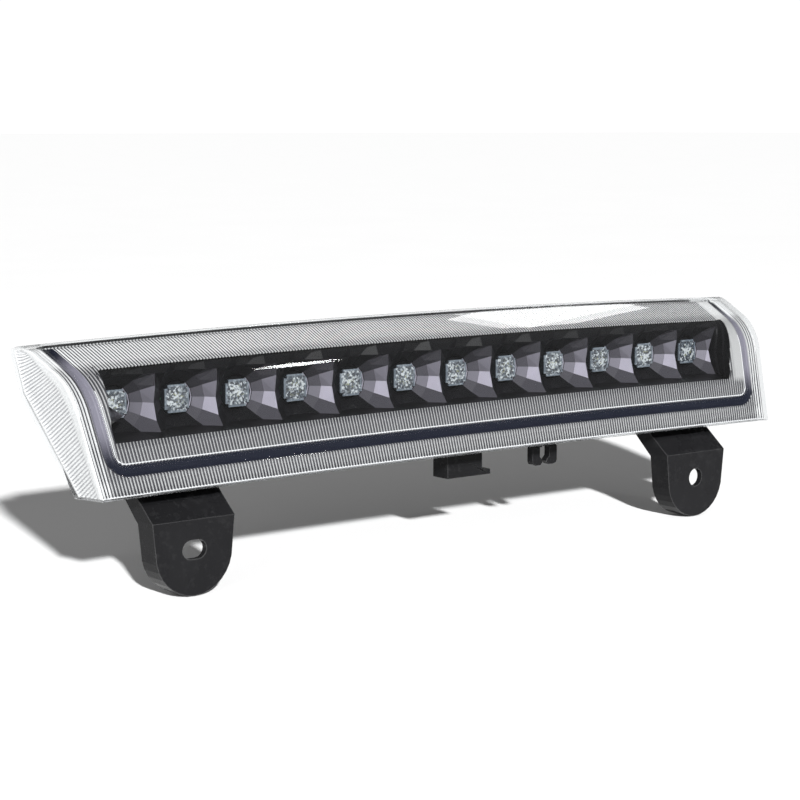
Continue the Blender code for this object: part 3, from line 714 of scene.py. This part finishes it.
class LensSettings(bpy.types.PropertyGroup):
    skin: number_setting("Skin", "Wall of the smooth outer skin, in millimetres", 0.8)
    groove_depth: number_setting("Groove depth", "Depth of the closed groove, in millimetres", 1.1)
    rib_pitch: number_setting("Rib pitch", "Distance between ribs, in millimetres", 1.1)
    rib_height: number_setting("Rib height", "Height of a rib, in millimetres", 0.42)
    rib_samples: IntProperty(
        name="Rib samples", description="Grid columns on each rib", default=4, min=4
    )
    # Ridge and valley colours are painted highlight and painted shade of the clear fluted plastic; the
    # groove is painted dark, standing in for the dark inside seen through it.
    light: colour_setting("Ridge", "Colour of the ridges", (0.24, 0.24, 0.24))
    dark: colour_setting("Valley", "Colour of the valleys", (0.022, 0.022, 0.026))
    channel: colour_setting("Channel", "Colour of the groove", (0.006, 0.007, 0.012))
    # The caps' white and line colours are painted light and painted shade.
    cap_painted_white: colour_setting("Cap", "Colour of the end caps", (0.52, 0.52, 0.52))
    cap_line_shade: colour_setting("Cap line", "Colour of the end caps' lines", (0.17, 0.17, 0.18))


class ReflectorSettings(bpy.types.PropertyGroup):
    floor_radius: number_setting(
        "Floor radius", "Radius of the hole in each cup, in millimetres", 5.95
    )
    ring_radius: number_setting(
        "Ring radius", "Radius where the inner facets end, in millimetres", 8.8
    )
    inner_slope: number_setting(
        "Inner slope", "Rise of the inner facets for each millimetre outward", 0.88
    )
    outer_slope: number_setting(
        "Outer slope", "Rise of the outer facets for each millimetre outward", 1.28
    )
    # The plating colour is the painted light on the facets that face the light and on each hole's rim.
    colour: colour_setting("Plating", "Colour of the facets", (0.40, 0.38, 0.45))


class FinishSettings(bpy.types.PropertyGroup):
    housing: colour_setting("Housing", "Colour of the housing and ears", (0.0055, 0.0055, 0.006))
    optic: colour_setting("Optic", "Tint of the clear blocks over the LEDs", (0.06, 0.072, 0.086))
    board: colour_setting("Board", "Colour of the circuit board", (0.015, 0.10, 0.04))


class StudioSettings(bpy.types.PropertyGroup):
    floor: colour_setting("Floor", "Colour of the floor", (0.86, 0.86, 0.86))
    focal_length: FloatProperty(
        name="Lens", description="Camera's focal length", default=94.5, unit="CAMERA"
    )
    sun_power: number_setting("Sun power", "Strength of the key light", 8.6)
    ambient: number_setting("Ambient", "Brightness of the surroundings", 0.15)


def skin_patches(settings):
    """Face, caps, foot and end returns of the lens's outer surface.

    The face is outline times width, sunk by the groove's share. A cap is ruled
    from the face's side edge to the back line, and the foot from the face's foot
    to the back line's lowest point. The tones mark the faces in the groove.
    """
    low_leg = np.linspace(GROOVE_LOW - 0.6, GROOVE_LOW + 8.0, 26)
    high_leg = np.linspace(GROOVE_HIGH - 6.0, GROOVE_HIGH + 0.6, 22)
    between = np.linspace(low_leg[-1], FACE_LENGTH, 6)[1:-1]
    brow = np.linspace(FACE_LENGTH, FACE_LENGTH + BROW_LENGTH, 9)
    rows = np.concatenate([[0.0, 3.2], low_leg, between, brow, high_leg, [PROFILE - 1.4, PROFILE]])
    rows = np.unique(np.round(rows, 4))
    near = np.concatenate([[0.0, 3.4], np.linspace(GROOVE_BORDER - 0.4, GROOVE_BORDER + 8.4, 28)])
    middle = np.linspace(-1, 1, 33)[1:-1]
    edge = side_edge(rows)[:, None]
    inner = edge - near[-1]
    x = np.concatenate([near - edge, middle * inner, edge - near[::-1]], axis=1)
    s = np.broadcast_to(rows[:, None], x.shape)
    depth = settings.groove_depth * groove_share(x, s)
    patches = [patch(placed(*face_point(x, s, depth)), FACE_OUTWARD)]
    centre_x = (x[:-1, :-1] + x[1:, 1:]) / 2
    centre_s = (s[:-1, :-1] + s[1:, 1:]) / 2
    in_groove = ease(0.0, 0.2, groove_share(centre_x, centre_s)).reshape(-1)
    steps = np.linspace(0.0, 1.0, 7)
    share = rows / PROFILE
    back_y, back_z = back_point(share)
    return_y, return_z = back_point(0.2 + 0.72 * share)
    for side in (-1, 1):
        front = face_point(side * edge[:, 0], rows, 0.0)
        back_x = side * (edge[:, 0] + FLARE)
        back = (back_x, back_y, back_z + crown(back_x, back_z))
        patches.append(patch(placed(*ruled(front, back, steps)), (side, 0, 0)))
        end_x = np.full(rows.shape, side * RETURN_X)
        end = (end_x, return_y, return_z + crown(end_x, return_z))
        patches.append(patch(placed(*ruled(back, end, np.array([0.0, 1.0]))), (0, 1, -0.6)))
    foot = face_point(x[0], s[0], 0.0)
    under_x = foot[0] * (1 + FLARE / HALF_WIDTH)
    under_y, under_z = BACK_LINE[0]
    under = (under_x, np.full(under_x.shape, under_y), under_z + crown(under_x, under_z))
    patches.append(patch(placed(*ruled(foot, under, steps)), (0, 0, -1)))
    return patches, [in_groove] + [np.zeros(len(faces)) for _, faces in patches[1:]]


def rib_wave(distance, pitch):
    """Rounded flutes: the square root of a raised cosine, 1 on a ridge."""
    return np.sqrt(0.5 + 0.5 * np.cos(2 * np.pi * distance / pitch))


def face_rib_patches(settings):
    """The ribbed layer behind the face, with its clear window and smooth groove.

    u is the width at the foot; the ribs fan out with the sides, so the real width
    is u times the local edge over the foot's. Ridges sink the layer inward.
    """
    step = settings.rib_pitch / settings.rib_samples
    reach = HALF_WIDTH - LAYER_DEPTH
    count = int(reach / step)
    u = np.concatenate([[-reach], np.arange(-count, count + 1) * step, [reach]])
    u = np.unique(np.round(u, 4))
    rows = np.concatenate(
        [
            [RIB_FOOT, 3.2, 5.6],
            np.linspace(6.2, 14.0, 15),
            [WINDOW_LOW],
            np.linspace(WINDOW_LOW, WINDOW_HIGH, 10)[1:-1],
            [WINDOW_HIGH, 44.0, 46.5, 49.0, 51.5],
            np.linspace(53.6, GROOVE_HIGH + 0.2, 11),
            [PROFILE - 0.9, PROFILE - 0.5],
        ]
    )
    uu, ss = np.meshgrid(u, rows)
    centre_s = (ss[:-1, :-1] + ss[1:, 1:]) / 2
    outer_u = np.where(uu[:-1, :-1] < 0, uu[:-1, :-1], uu[:-1, 1:])
    in_window = np.abs(outer_u) <= np.abs(window_edge(np.sign(outer_u), centre_s))
    in_window &= (centre_s > WINDOW_LOW) & (centre_s < WINDOW_HIGH)
    ends = (np.abs(uu) > WINDOW_X - 8.0) & (ss > WINDOW_LOW) & (ss < WINDOW_HIGH)
    left_u = np.minimum(uu, window_edge(-1, ss))
    right_u = np.maximum(uu, window_edge(1, ss))
    uu = np.where(ends, np.where(uu < 0, left_u, right_u), uu)
    x = uu * (side_edge(ss) - LAYER_DEPTH) / reach
    inset = groove_inset(x, ss)
    far_side = ease(GROOVE_WIDTH - 0.2, GROOVE_WIDTH + 0.3, inset)
    inside = ease(-0.3, 0.2, inset) * (1 - far_side)
    plain = ease(*PLAIN_STRIP, uu) * ease(15.0, 18.0, ss)
    plain = np.maximum(plain, ease(HALF_WIDTH - 3.2, HALF_WIDTH - 2.2, np.abs(uu)))
    height = settings.rib_height * (1 - inside) * (1 - plain)
    depth = LAYER_DEPTH + settings.groove_depth * groove_share(x, ss)
    depth = depth + height * rib_wave(uu, settings.rib_pitch)
    points = placed(*face_point(x, ss, depth))
    grids = [patch(points, FACE_OUTWARD, ~in_window)]
    maps = [(uu / MAP_SCALE, ss / MAP_SCALE)]
    lip_s = np.array([RIB_FOOT, -0.6, -11.5])[:, None]
    lip_y = np.array([FACE_FOOT[0] + 2.6, BACK_LINE[0, 0] - 1.0])[:, None]
    lip_z = np.array([FACE_FOOT[1] + 0.95, BACK_LINE[0, 1] + 1.0])[:, None]
    coarse = np.linspace(-reach, reach, 61)
    lip_x = np.broadcast_to(coarse, (len(lip_s), coarse.size))
    front = placed(*face_point(coarse, np.full(coarse.shape, RIB_FOOT), LAYER_DEPTH + 0.2))
    rest = placed(lip_x[1:], lip_y, lip_z + crown(lip_x[1:], lip_z))
    grids.append(patch(np.concatenate([front[None], rest]), (0, 0, -1)))
    maps.append((lip_x / MAP_SCALE, np.broadcast_to(lip_s / MAP_SCALE, lip_x.shape)))
    return grids, maps


def cap_rib_patch(settings, side):
    """The ribbed layer behind one end cap.

    It is ruled from the face's edge to the back line; a rib follows the line
    from front distance d to back distance d - 7, so ribs rise toward the front.
    """
    pitch = settings.rib_pitch
    share = np.linspace(0.012, 0.985, int(PROFILE / pitch * settings.rib_samples))[:, None]
    a = np.array([0.0, 0.06, 0.12, 0.18, 0.24, 0.32, 0.44, 0.56, 0.68, 0.8, 0.9, 0.95, 1.0])
    s = share * PROFILE
    front_x, front_y, front_z = face_point(side * (side_edge(s) - LAYER_DEPTH), s, LAYER_DEPTH)
    back_y, back_z = back_point(share)
    back_x = side * (side_edge(s) + FLARE - LAYER_DEPTH)
    back_z = back_z + crown(back_x, back_z)
    along = (1 - a) * s + a * (BACK_LENGTHS.sum() * share + CAP_RISE)
    body = ease(0.15, 0.28, a) * (1 - ease(0.88, 0.98, a))
    sink = settings.rib_height * body * rib_wave(along, pitch)
    x = front_x + (back_x - front_x) * a - side * sink
    y = front_y + (back_y - 0.5 - front_y) * a
    z = front_z + (back_z - front_z) * a
    shape = np.broadcast_shapes(x.shape, y.shape)
    mapped = [np.broadcast_to(value / MAP_SCALE, shape) for value in (a, along)]
    return patch(placed(x, y, z), (side, 0, 0)), mapped


def polygon_radius(angle, radius):
    """Distance from the middle to a regular polygon's edge along this angle."""
    sector = 2 * np.pi / CUP_SIDES
    return radius * math.cos(sector / 2) / np.cos(angle % sector - sector / 2)


def cell_reach(angle, left, right, low, high):
    """Distance from the LED to its cell's rectangle along this angle."""
    with np.errstate(divide="ignore"):
        across = np.where(np.cos(angle) > 0, right, left) / np.cos(angle)
        up = np.where(np.sin(angle) > 0, high, low) / np.sin(angle)
    return np.minimum(np.abs(across), np.abs(up))


def painted_facet_light(angle):
    """Painted light for each facet of each ring, from the hole outward.

    The facets at the right of a cup, which look to the left toward the light, are painted the
    brightest, and the rim ring gets a painted highlight on its right side.
    """
    following = np.append(angle[1:], angle[0] + 2 * np.pi)
    middle = (angle + following) / 2
    sector = (middle // (2 * np.pi / CUP_SIDES)).astype(int) % CUP_SIDES
    rim = np.where(np.cos(middle) > 0.7, RIM_PAINTED_HIGHLIGHT, 0.0)
    dark = np.zeros(len(angle))
    return np.concatenate([dark, dark, rim, dark, INNER_PAINTED_LIGHT[sector], OUTER_PAINTED_LIGHT[sector]])


def cup_patches(settings, i):
    """One LED's cell: collar, a rim with a painted highlight, two rings of flat facets, sill and
    header.

    Rings are regular polygons about the LED. The depth rises from the hole by the
    inner slope, then by the outer one, and the cell's rectangle cuts the facets.
    """
    x0 = (i - (LED_COUNT - 1) / 2) * LED_PITCH
    left = -LED_PITCH / 2 if i else -END_X - x0
    right = LED_PITCH / 2 if i < LED_COUNT - 1 else END_X - x0
    spokes = np.arange(CUP_SIDES) * 2 * np.pi / CUP_SIDES
    corners = np.arctan2([CELL_LOW, CELL_LOW, CELL_HIGH, CELL_HIGH], [left, right, left, right])
    angle = np.sort(np.concatenate([spokes, corners % (2 * np.pi)]))
    limit = cell_reach(angle, left, right, CELL_LOW, CELL_HIGH)
    ring = np.minimum(polygon_radius(angle, settings.ring_radius), limit)
    floor_radius = settings.floor_radius

    def depth(radius):
        """How far forward a facet stands at this distance from the middle."""
        polygon = radius / polygon_radius(angle, 1.0)
        inner = np.clip(polygon - floor_radius, 0, settings.ring_radius - floor_radius)
        outer = np.maximum(polygon - settings.ring_radius, 0)
        return FLOOR_DEPTH - settings.inner_slope * inner - settings.outer_slope * outer

    rim_y = depth(limit)
    rim_y = np.where(limit * np.sin(angle) > 4.0, np.maximum(rim_y, -5.4), rim_y)
    rings = (*COLLAR, (floor_radius, FLOOR_DEPTH))
    radii = np.array([polygon_radius(angle, radius) for radius, _ in rings] + [ring, limit])
    depths = np.array([np.full(angle.shape, y) for _, y in rings] + [depth(ring), rim_y])
    x = x0 + radii * np.cos(angle)
    z = radii * np.sin(angle)
    patches = [patch(placed(x, depths, z), (0, -1, 0), wrap=True)]
    tones = [painted_facet_light(angle)]
    for level, front_y, front_z, bow, outward in LEDGES:
        on = np.abs(z[-1] - level) < 1e-6
        order = np.argsort(x[-1][on])
        back = (x[-1][on][order], depths[-1][on][order], z[-1][on][order])
        front_x = back[0]
        lift = crown(front_x, front_z) * bow
        front = (front_x, np.full(front_x.shape, front_y), front_z + lift)
        ledge = [np.stack(pair) for pair in zip(back, front)]
        patches.append(patch(placed(*ledge), outward))
        tones.append(np.zeros(len(front_x) - 1))
    return patches, tones


def end_wall_patch(side):
    """The trough's stepped end: ruled from the end cell forward to the lens."""
    share = np.array([0.0, 0.3, 0.36, 0.66, 0.72, 1.0])
    notch = np.array([0.0, 0.0, 0.5, 0.2, 0.6, 0.3])
    s = np.linspace(WINDOW_LOW - 0.8, WINDOW_HIGH + 1.5, 12)[:, None]
    spread = (side_edge(s) - LAYER_DEPTH) / (HALF_WIDTH - LAYER_DEPTH)
    edge = np.abs(window_edge(side, s)) * spread
    _, front_y, front_z = face_point(side * edge, s, 1.7)
    back_z = np.clip(front_z, -9.7, 12.0)
    back_y = np.interp(back_z, [-9.7, -8.4, 0.0, 9.0, 12.0], [-7.4, -4.9, -1.4, -3.8, -1.4])
    y = back_y + (front_y - back_y) * share
    z = back_z + (front_z - back_z) * share
    x = side * (END_X + (edge - END_X) * share + notch)
    return patch(placed(x, y, z), (-side, 0, 0))


def block_patches(low, high):
    """A block's six sides: each is flat at one end of one axis and spans the others."""
    low, high = np.array(low), np.array(high)
    sides = []
    for axis in range(3):
        across, along = [other for other in range(3) if other != axis]
        for level, sign in ((low, -1.0), (high, 1.0)):
            points = np.empty((2, 2, 3))
            points[..., axis] = level[axis]
            points[..., across] = [[low[across]] * 2, [high[across]] * 2]
            points[..., along] = [[low[along], high[along]]] * 2
            sides.append(patch(points, np.eye(3)[axis] * sign))
    return sides


def give_material(names, material):
    """Puts one finish on these CAD nodes' own slots."""
    for name in names:
        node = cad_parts[name]
        if not node.material_slots:
            node.data.materials.append(material)
        for slot in node.material_slots:
            slot.material = material


class BRAKELIGHT_OT_lens(bpy.types.Operator):
    """Clear outer skin with its groove, over the ribbed layers of face and caps"""

    bl_idname = "brakelight.lens"
    bl_label = "Lens"

    def execute(self, context):
        settings = context.scene.brakelight_lens
        pitch = settings.rib_pitch
        patches, tones = skin_patches(settings)
        skin = make_piece("lens_skin", patches, clear_skin(), tones=np.concatenate(tones))
        add_rounding(skin, 1.1, 3)
        add_wall(skin, settings.skin)
        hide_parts("outer_lens")
        grids, maps = face_rib_patches(settings)
        colours = [tuple(colour) for colour in (settings.light, settings.dark, settings.channel)]
        face = make_piece("lens_face_ribs", grids, ribbed_face(pitch, *colours), maps=maps)
        add_wall(face, RIB_WALL)
        cap_material = ribbed_cap(pitch, tuple(settings.cap_painted_white), tuple(settings.cap_line_shade))
        pieces = [skin, face]
        for side, label in ((-1, "left"), (1, "right")):
            grid, mapped = cap_rib_patch(settings, side)
            cap = make_piece(f"lens_cap_ribs_{label}", [grid], cap_material, maps=[mapped])
            add_wall(cap, RIB_WALL)
            pieces.append(cap)
        for piece in pieces:
            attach(piece, "lamp")
        return {"FINISHED"}


class BRAKELIGHT_OT_reflector(bpy.types.Operator):
    """Faceted reflector trough with a cup round every LED"""

    bl_idname = "brakelight.reflector"
    bl_label = "Reflector"

    def execute(self, context):
        settings = context.scene.brakelight_reflector
        patches, tones = [], []
        for i in range(LED_COUNT):
            cell, cell_tones = cup_patches(settings, i)
            patches += cell
            tones += cell_tones
        for side in (-1, 1):
            wall = end_wall_patch(side)
            patches.append(wall)
            tones.append(np.zeros(len(wall[1])))
        material = chrome_with_painted_facet_light(tuple(settings.colour))
        tones = np.concatenate(tones)
        reflector = make_piece("cup_reflector", patches, material, smooth=False, tones=tones)
        add_wall(reflector, TROUGH_WALL)
        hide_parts("led_reflector")
        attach(reflector, "lamp")
        return {"FINISHED"}


class BRAKELIGHT_OT_finishes(bpy.types.Operator):
    """Finishes on the housing, clip, socket and inner parts, and rounded outer edges"""

    bl_idname = "brakelight.finishes"
    bl_label = "Finishes"

    def execute(self, context):
        settings = context.scene.brakelight_finish
        black = tuple(settings.housing)
        numbered = [f"{i + 1:02d}" for i in range(LED_COUNT)]
        give_material(["rear_housing"], black_plastic("housing_plastic", black))
        socket_black = tuple(part * SOCKET_SHADE for part in black)
        give_material(["connector_socket"], black_plastic("socket_plastic", socket_black))
        prongs = ["clip_prong_left", "clip_prong_right"]
        give_material(prongs, black_plastic("clip_plastic", socket_black))
        give_material(["breather_vent"], moulded_plastic("vent_plastic", (0.03, 0.03, 0.032), 0.6))
        rubber = moulded_plastic("seal_rubber", (0.02, 0.02, 0.02), 0.7, grain=0.8, wear_and_edge_highlight=0.1)
        give_material(["lens_seal"], rubber)
        parts = ["driver_chip", "rectifier_diode", "resistor_1", "resistor_2", "resistor_3"]
        give_material(parts, moulded_plastic("component_epoxy", (0.02, 0.02, 0.021), 0.5))
        give_material(["lead_wire_1"], moulded_plastic("red_jacket", (0.42, 0.02, 0.02), 0.45))
        give_material(["lead_wire_2"], moulded_plastic("black_jacket", (0.02, 0.02, 0.02), 0.45))
        brass = metal_finish("tinned_brass", (0.80, 0.66, 0.42), 0.28)
        give_material(["terminal_1", "terminal_2"], brass)
        screws = [f"board_screw_{i + 1}" for i in range(4)]
        give_material(screws, metal_finish("zinc_steel", (0.66, 0.67, 0.68), 0.32))
        give_material(["capacitor"], metal_finish("can_aluminium", (0.72, 0.72, 0.74), 0.3))
        give_material(["circuit_board"], board_resin(tuple(settings.board)))
        give_material([f"led_{number}" for number in numbered], led_phosphor((0.78, 0.70, 0.38)))
        optics = [f"led_optic_{number}" for number in numbered]
        give_material(optics, sparkling_optic(tuple(settings.optic)))
        add_rounding(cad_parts["rear_housing"], 0.45, 2, 32.0, weld=True)
        for name in ("connector_socket", "breather_vent", *prongs):
            add_rounding(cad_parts[name], 0.22, 2, 32.0, weld=True)
        return {"FINISHED"}


class BRAKELIGHT_OT_clip(bpy.types.Operator):
    """Moulded root of each clip prong, up to the housing"""

    bl_idname = "brakelight.clip"
    bl_label = "Clip roots"

    def execute(self, context):
        black = tuple(part * SOCKET_SHADE for part in context.scene.brakelight_finish.housing)
        material = black_plastic("clip_root_plastic", black)
        for side in ("left", "right"):
            low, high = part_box(f"clip_prong_{side}")
            inset = ROOT_INSET * MM
            foot = (low.x + inset, low.y + inset, high.z - ROOT_OVERLAP * MM)
            head = (high.x - inset, high.y - inset, high.z + ROOT_RISE * MM)
            block = block_patches(foot, head)
            root = make_piece(f"clip_root_{side}", block, material, smooth=False)
            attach(root, "lamp")
        return {"FINISHED"}


def facing(direction):
    """The turn that points a light's front along this direction."""
    return direction.to_track_quat("-Z", "Y").to_euler()


def add_softbox(name, direction, distance, size, power, target=(0.0, 0.0, 0.0)):
    """A rectangular light this far along a direction, turned to face the target."""
    data = bpy.data.lights.new(name, "AREA")
    data.shape = "RECTANGLE"
    data.size, data.size_y = size
    data.energy = power
    light = bpy.data.objects.new(name, data)
    light.location = Vector(target) + Vector(direction).normalized() * distance
    light.rotation_euler = facing(Vector(target) - light.location)
    bpy.context.scene.collection.objects.link(light)


def add_sun(power):
    data = bpy.data.lights.new("key_sun", "SUN")
    data.energy = power
    data.angle = SUN_SPREAD
    key = bpy.data.objects.new("key_sun", data)
    key.rotation_euler = facing(Vector(SUN_TRAVEL))
    bpy.context.scene.collection.objects.link(key)


def add_floor(colour):
    """A wide square just under the lamp."""
    ends = [-FLOOR_REACH, FLOOR_REACH]
    x, y = np.meshgrid(ends, ends)
    corners = np.stack([x, y, np.full(x.shape, CAD_BOX[0][2] - FLOOR_GAP)], axis=-1)
    floor = make_piece("studio_floor", [patch(corners, (0, 0, 1))], studio_floor(colour))


def white_surroundings(ambient):
    """A world that the camera sees as white and that lights the lamp dimly."""
    world = bpy.data.worlds.new("white_surroundings")
    world.use_nodes = True
    nodes = world.node_tree.nodes
    links = world.node_tree.links
    nodes.clear()
    path = nodes.new("ShaderNodeLightPath")
    mix = nodes.new("ShaderNodeMixShader")
    output = nodes.new("ShaderNodeOutputWorld")
    links.new(path.outputs["Is Camera Ray"], mix.inputs[0])
    for place, strength in ((1, ambient), (2, BACKDROP_STRENGTH)):
        glow = nodes.new("ShaderNodeBackground")
        glow.inputs["Color"].default_value = (1, 1, 1, 1)
        glow.inputs["Strength"].default_value = strength
        links.new(glow.outputs[0], mix.inputs[place])
    links.new(mix.outputs[0], output.inputs["Surface"])
    return world


def add_camera(focal_length):
    data = bpy.data.cameras.new("camera")
    data.lens = focal_length
    data.sensor_width = 36.0
    data.clip_end = 200.0
    camera = bpy.data.objects.new("camera", data)
    camera.location = CAMERA_PLACE
    camera.rotation_euler = Euler((CAMERA_TILT, 0.0, CAMERA_TURN))
    bpy.context.scene.collection.objects.link(camera)
    bpy.context.scene.camera = camera


class BRAKELIGHT_OT_studio(bpy.types.Operator):
    """Pale floor, soft lights, white surroundings and the camera"""

    bl_idname = "brakelight.studio"
    bl_label = "Studio"

    def execute(self, context):
        settings = context.scene.brakelight_studio
        add_floor(tuple(settings.floor))
        add_sun(settings.sun_power)
        add_softbox("left_softbox", (-0.90, -0.42, 0.24), 1.1, (0.75, 0.6), 3.0)
        roof_target = (0.06, 0.005, 0.036)
        add_softbox("roof_softbox", (0.67, 0.41, 0.62), 1.0, (0.11, 0.15), 0.17, roof_target)
        brow_target = (-0.06, -0.006, 0.03)
        add_softbox("brow_softbox", (0.571, -0.27, 0.80), 1.0, (0.065, 0.052), 0.24, brow_target)
        context.scene.world = white_surroundings(settings.ambient)
        add_camera(settings.focal_length)
        context.scene.view_settings.view_transform = "Standard"
        return {"FINISHED"}


class BRAKELIGHT_PT_panel(bpy.types.Panel):
    bl_label = "Third Brake Light"
    bl_idname = "BRAKELIGHT_PT_panel"
    bl_space_type = "VIEW_3D"
    bl_region_type = "UI"
    bl_category = "Brake Light"

    def draw(self, context):
        for step in STEPS:
            self.layout.operator(step.bl_idname)
        for name in SETTINGS:
            group = getattr(context.scene, name)
            box = self.layout.box()
            for key in group.bl_rna.properties.keys():
                if key not in {"rna_type", "name"}:
                    box.prop(group, key)


STEPS = (
    BRAKELIGHT_OT_lens,
    BRAKELIGHT_OT_reflector,
    BRAKELIGHT_OT_finishes,
    BRAKELIGHT_OT_clip,
    BRAKELIGHT_OT_studio,
)
SETTINGS = {
    "brakelight_lens": LensSettings,
    "brakelight_reflector": ReflectorSettings,
    "brakelight_finish": FinishSettings,
    "brakelight_studio": StudioSettings,
}


def register():
    for group in (*SETTINGS.values(), *STEPS, BRAKELIGHT_PT_panel):
        bpy.utils.register_class(group)
    for name, group in SETTINGS.items():
        setattr(bpy.types.Scene, name, PointerProperty(type=group))


def unregister():
    for name in SETTINGS:
        delattr(bpy.types.Scene, name)
    for group in reversed((*SETTINGS.values(), *STEPS, BRAKELIGHT_PT_panel)):
        bpy.utils.unregister_class(group)


def main():
    register()
    bpy.ops.brakelight.lens()
    bpy.ops.brakelight.reflector()
    bpy.ops.brakelight.finishes()
    bpy.ops.brakelight.clip()
    bpy.ops.brakelight.studio()


if __name__ == "__main__":
    main()
